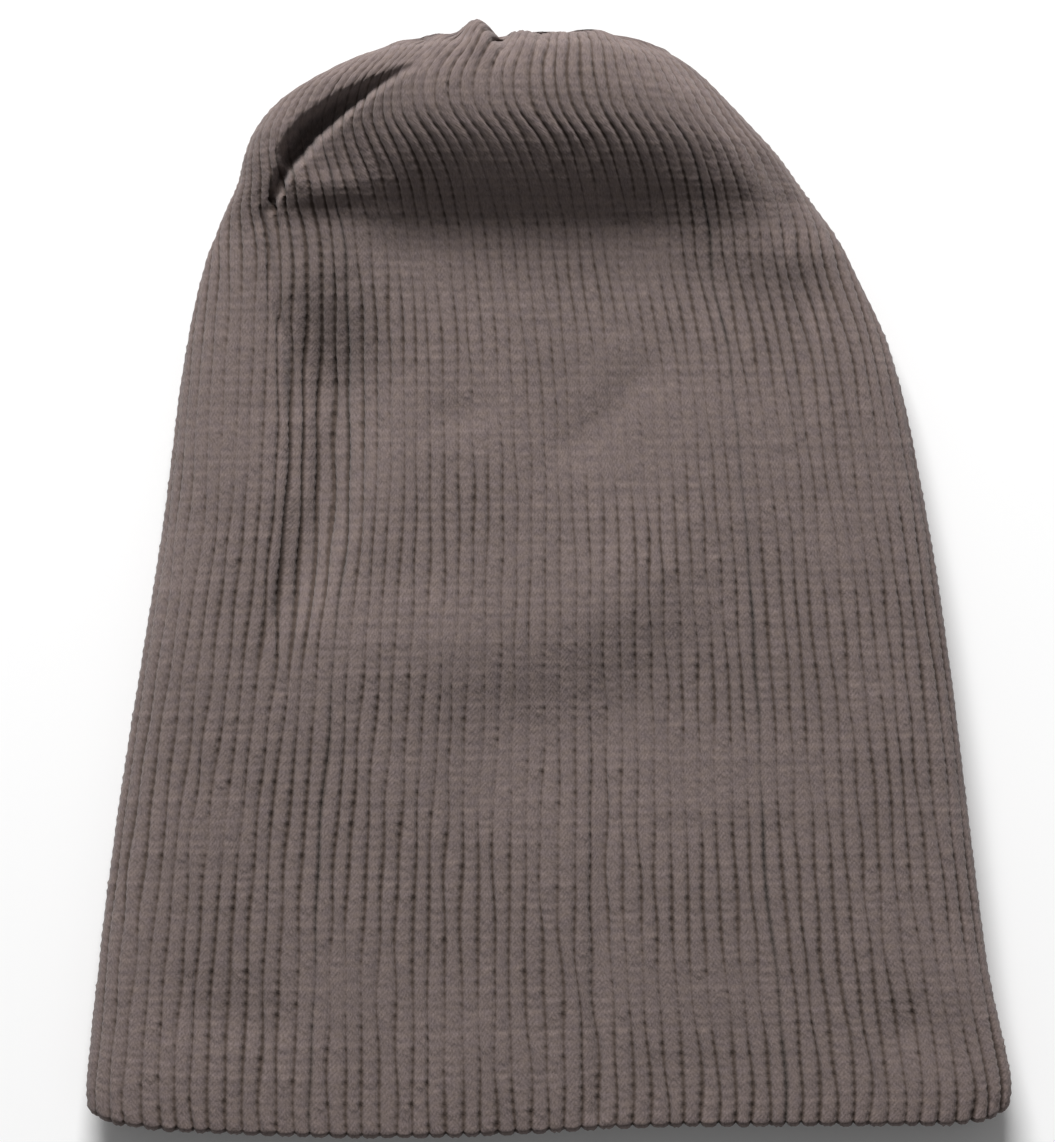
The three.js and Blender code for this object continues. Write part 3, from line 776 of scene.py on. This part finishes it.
def linear(hex_colour):
    """sRGB hex to the linear values that Blender works in."""
    channels = [int(hex_colour[i : i + 2], 16) / 255 for i in (1, 3, 5)]
    return [c / 12.92 if c <= 0.04045 else ((c + 0.055) / 1.055) ** 2.4 for c in channels] + [1]


def add_node(tree, kind, settings, inputs, output=0):
    """Adds a node, sets its properties and its inputs, and gives the output with that number or name.
    An input is set to a value, a hex colour or another node's output."""
    node = tree.nodes.new("ShaderNode" + kind)
    for name, value in settings.items():
        setattr(node, name, value)
    for name, value in inputs.items():
        if isinstance(value, bpy.types.NodeSocket):
            tree.links.new(value, node.inputs[name])
        else:
            node.inputs[name].default_value = linear(value) if isinstance(value, str) else value
    return node.outputs[output] if node.outputs else None


def empty_material(name):
    material = bpy.data.materials.new(name)
    material.use_nodes = True
    material.node_tree.nodes.clear()
    return material


def heathered_rib_knit():
    """Rib knit in a spun yarn of wool and acrylic: matt, hairy, each length of yarn a little lighter
    or darker, with shade painted dark into the grooves, where light hardly gets between the ribs."""
    material = empty_material("heathered_rib_knit")
    tree = material.node_tree
    place = add_node(tree, "UVMap", {"uv_map": "knit"}, {})
    wale = add_node(tree, "SeparateXYZ", {}, {"Vector": place}, "X")
    course = add_node(tree, "SeparateXYZ", {}, {"Vector": place}, "Y")

    # a place across its rib, from 0 at the rib's middle to 0.5 at its edges
    part = add_node(tree, "Math", {"operation": "FRACT"}, {0: wale})
    across = add_node(tree, "Math", {"operation": "SUBTRACT"}, {0: part, 1: 0.5})
    off = add_node(tree, "Math", {"operation": "ABSOLUTE"}, {0: across})
    # each stitch's legs stand up in the middle of their course
    leg_turn = add_node(tree, "Math", {"operation": "MULTIPLY"}, {0: course, 1: 2 * math.pi})
    leg = add_node(tree, "Math", {"operation": "COSINE"}, {0: leg_turn})
    # the yarn's own plies slant across each leg
    slant = 2 * math.pi * PLIES_PER_LEG
    ply_start = add_node(tree, "Math", {"operation": "MULTIPLY"}, {0: course, 1: slant})
    ply_turn = add_node(
        tree, "Math", {"operation": "MULTIPLY_ADD"}, {0: off, 1: slant * PLY_SLANT, 2: ply_start},
    )
    ply = add_node(tree, "Math", {"operation": "COSINE"}, {0: ply_turn})

    tones = {}
    for name, (ribs, courses, detail, seed) in YARN_TONES.items():
        stretched = add_node(tree, "Mapping", {}, {
            "Vector": place, "Scale": (1 / ribs, 1 / courses, 1), "Location": (seed, -seed, 0),
        })
        tones[name] = add_node(tree, "TexNoise", {"noise_dimensions": "2D"}, {
            "Vector": stretched, "Scale": 1.0, "Detail": detail, "Roughness": 0.6,
        }, "Fac")

    base = add_node(tree, "Mix", {"data_type": "RGBA"}, {
        MIX_FACTOR: tones["fibre"], MIX_FIRST: HEATHER_DARK, MIX_SECOND: HEATHER_LIGHT,
    }, MIX_RESULT)
    warmth = add_node(tree, "Math", {"operation": "MULTIPLY"}, {0: tones["stitch"], 1: WARM_SHARE})
    base = add_node(tree, "Mix", {"data_type": "RGBA"}, {
        MIX_FACTOR: warmth, MIX_FIRST: base, MIX_SECOND: HEATHER_WARM,
    }, MIX_RESULT)
    yarn_shade = add_node(tree, "Math", {"operation": "MULTIPLY_ADD"}, {
        0: tones["yarn"], 1: YARN_SHADE, 2: 1 - YARN_SHADE / 2,
    })
    patch_shade = add_node(tree, "Math", {"operation": "MULTIPLY_ADD"}, {
        0: tones["patch"], 1: PATCH_SHADE, 2: 1 - PATCH_SHADE / 2,
    })
    stitch_shade = add_node(tree, "Math", {"operation": "MULTIPLY_ADD"}, {
        0: tones["stitch"], 1: STITCH_SHADE, 2: 1 - STITCH_SHADE / 2,
    })
    shade = add_node(tree, "Math", {"operation": "MULTIPLY"}, {0: yarn_shade, 1: patch_shade})
    shade = add_node(tree, "Math", {"operation": "MULTIPLY"}, {0: shade, 1: stitch_shade})
    grey = add_node(tree, "CombineColor", {}, {"Red": shade, "Green": shade, "Blue": shade})
    base = add_node(tree, "Mix", {"data_type": "RGBA", "blend_type": "MULTIPLY"}, {
        MIX_FACTOR: 1.0, MIX_FIRST: base, MIX_SECOND: grey,
    }, MIX_RESULT)
    # painted shade: the colour darkens to the groove shade colour towards the bottom of each groove, by
    # the relief attribute
    relief = add_node(tree, "Attribute", {"attribute_name": "relief"}, {}, "Fac")
    clear_of_painted_shade = add_node(tree, "MapRange", {"interpolation_type": "SMOOTHSTEP"}, {
        "Value": relief, "From Min": 0.0, "From Max": GROOVE_SHADE_TO, "To Min": 0.0, "To Max": 1.0,
    })
    colour = add_node(tree, "Mix", {"data_type": "RGBA"}, {
        MIX_FACTOR: clear_of_painted_shade, MIX_FIRST: PAINTED_GROOVE_SHADE, MIX_SECOND: base,
    }, MIX_RESULT)

    height = add_node(tree, "Math", {"operation": "MULTIPLY"}, {0: tones["fibre"], 1: FIBRE_HEIGHT})
    height = add_node(tree, "Math", {"operation": "MULTIPLY_ADD"}, {0: ply, 1: PLY_HEIGHT, 2: height})
    height = add_node(tree, "Math", {"operation": "MULTIPLY_ADD"}, {0: leg, 1: LEG_HEIGHT, 2: height})
    bumps = add_node(tree, "Bump", {}, {"Height": height, "Distance": MM, "Strength": BUMP_STRENGTH})
    shader = add_node(tree, "BsdfPrincipled", {}, {
        "Base Color": colour,
        "Roughness": 0.95,
        "Specular IOR Level": 0.15,
        "Sheen Weight": 0.12,
        "Sheen Roughness": 0.6,
        "Normal": bumps,
    })
    add_node(tree, "OutputMaterial", {}, {"Surface": shader})
    return material


def plied_wool_yarn():
    """The same spun yarn as a bare strand: matt, with short soft fibres that catch the light."""
    material = empty_material("plied_wool_yarn")
    tree = material.node_tree
    place = add_node(tree, "TexCoord", {}, {}, "Object")
    fibre = add_node(tree, "TexNoise", {}, {"Vector": place, "Scale": 2500, "Detail": 3.0}, "Fac")
    bumps = add_node(tree, "Bump", {}, {"Height": fibre, "Distance": 0.1 * MM, "Strength": 0.7})
    colour = add_node(tree, "Mix", {"data_type": "RGBA"}, {
        MIX_FACTOR: fibre, MIX_FIRST: HEATHER_DARK, MIX_SECOND: HEATHER_LIGHT,
    }, MIX_RESULT)
    shader = add_node(tree, "BsdfPrincipled", {}, {
        "Base Color": colour,
        "Roughness": 0.95,
        "Specular IOR Level": 0.15,
        "Sheen Weight": 0.2,
        "Normal": bumps,
    })
    add_node(tree, "OutputMaterial", {}, {"Surface": shader})
    return material


def place_camera():
    """Straight above the cap, from far enough away that its height hardly widens it."""
    photo_height = 1142  # pixels, as is the hem's width in the photo
    hem_pixels = 925
    hem_width = 220
    scale = hem_width / hem_pixels
    distance = 3000
    outline_height = 8  # how high above the floor the cap's outline lies
    frame_middle = (-5.0, 1.6)  # what the photo's frame has in its middle
    data = bpy.data.cameras.new("camera")
    data.sensor_fit = "VERTICAL"
    data.sensor_height = 24
    data.lens = data.sensor_height * distance / (photo_height * scale)
    data.clip_end = 10
    camera = bpy.data.objects.new("camera", data)
    camera.location = (
        frame_middle[0] * MM, frame_middle[1] * MM, (distance + outline_height) * MM,
    )
    bpy.context.scene.collection.objects.link(camera)
    bpy.context.scene.camera = camera


def place_floor():
    """A sheet of white paper, a hair below the cap so that the two don't meet."""
    half = 3.0
    gap = 0.0005
    mesh = bpy.data.meshes.new("floor")
    corners = [(-half, -half, 0), (half, -half, 0), (half, half, 0), (-half, half, 0)]
    mesh.from_pydata(corners, [], [(0, 1, 2, 3)])
    floor = bpy.data.objects.new("floor", mesh)
    bpy.context.scene.collection.objects.link(floor)
    material = bpy.data.materials.new("white_paper")
    material.use_nodes = True
    shader = material.node_tree.nodes["Principled BSDF"]
    shader.inputs["Base Color"].default_value = linear("#f4f4f4")
    shader.inputs["Roughness"].default_value = 0.9
    mesh.materials.append(material)
    floor.location.z = -gap


def place_lights():
    """A wide soft box beyond the crown, low enough to bring out the folds, and a pale room round it."""
    to_the_left = 0.12
    height = math.radians(31)
    distance = 3.2
    data = bpy.data.lights.new("softbox", "AREA")
    data.shape = "RECTANGLE"
    data.size = 1.75
    data.size_y = 1.15
    data.energy = 188
    light = bpy.data.objects.new("softbox", data)
    direction = Vector((-to_the_left, math.cos(height), math.sin(height))).normalized()
    light.location = direction * distance
    light.rotation_euler = direction.to_track_quat("Z", "Y").to_euler()
    bpy.context.scene.collection.objects.link(light)
    world = bpy.data.worlds.new("room")
    bpy.context.scene.world = world
    world.use_nodes = True
    background = world.node_tree.nodes["Background"]
    background.inputs["Color"].default_value = (1, 1, 1, 1)
    background.inputs["Strength"].default_value = 0.22


place_camera()
place_floor()
place_lights()
layer = knit_layer()
knit = heathered_rib_knit()
for piece in outer_panels(layer) + [inside_sheet(layer)]:
    piece.data.materials.append(knit)
    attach(piece, "root")
    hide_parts("knit_tube")
yarn = closing_yarn()
yarn.data.materials.append(plied_wool_yarn())
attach(yarn, "root")
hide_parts("closing_yarn")

bpy.context.scene.view_settings.view_transform = "Standard"
